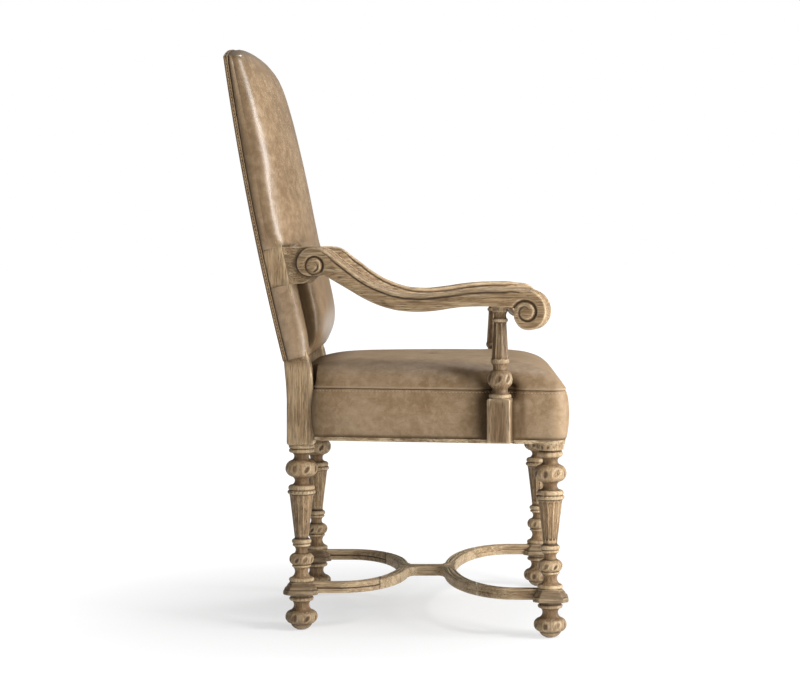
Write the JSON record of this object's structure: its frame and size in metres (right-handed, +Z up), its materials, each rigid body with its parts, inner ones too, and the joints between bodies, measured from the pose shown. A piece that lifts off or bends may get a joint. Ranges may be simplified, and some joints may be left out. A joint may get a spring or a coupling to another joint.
{
  "type": "dining armchair",
  "caption": "High-backed dining armchair with turned oak legs, scrolled arms, a curved stretcher and a leather seat and back.",
  "frame": {"origin": "on the floor, under the middle of the chair's box", "axes": "+Z up, the sitter faces -Y, +X is the sitter's left"},
  "size_m": [0.718, 0.67, 1.143],
  "materials": {
    "oak": "limed and weathered, open grain, matt",
    "frame_wood": "plain sawn",
    "leather": "aged, soft sheen",
    "foam": "covered foam",
    "webbing": "jute webbing",
    "hessian": "hessian",
    "dust_cloth": "black cambric",
    "steel": "zinc plated"
  },
  "bodies": {
    "root": {"foot_front_left": "oak", "foot_front_right": "oak", "foot_rear_left": "oak", "foot_rear_right": "oak", "plinth_front_left": "oak", "plinth_front_right": "oak", "plinth_rear_left": "oak", "plinth_rear_right": "oak", "front_leg_left": "oak", "front_leg_right": "oak", "rear_post_left": "oak", "rear_post_right": "oak", "arm_post_left": "oak", "arm_post_right": "oak", "arm_left": "oak", "arm_right": "oak", "stretcher_knot": "oak", "stretcher_bar_front_left": "oak", "stretcher_bar_front_right": "oak", "stretcher_bar_rear_left": "oak", "stretcher_bar_rear_right": "oak", "seat_moulding": "oak", "seat_rail_left": "frame_wood", "seat_rail_right": "frame_wood", "seat_rail_front": "frame_wood", "seat_rail_rear": "frame_wood", "corner_blocks": "frame_wood", "back_crest_rail": "frame_wood", "back_lower_rail": "frame_wood", "arm_dowels": "frame_wood", "stretcher_dowels": "frame_wood", "seat_border_leather": "leather", "seat_top_leather": "leather", "back_leather": "leather", "back_panel": "leather", "back_welt": "leather", "seat_pad": "foam", "back_pad": "foam", "seat_webbing_long": "webbing", "seat_webbing_cross": "webbing", "back_webbing": "webbing", "seat_deck": "hessian", "dust_cover": "dust_cloth", "corner_bolts": "steel", "arm_post_screws": "steel", "foot_glides": "steel"}
  },
  "joints": []
}
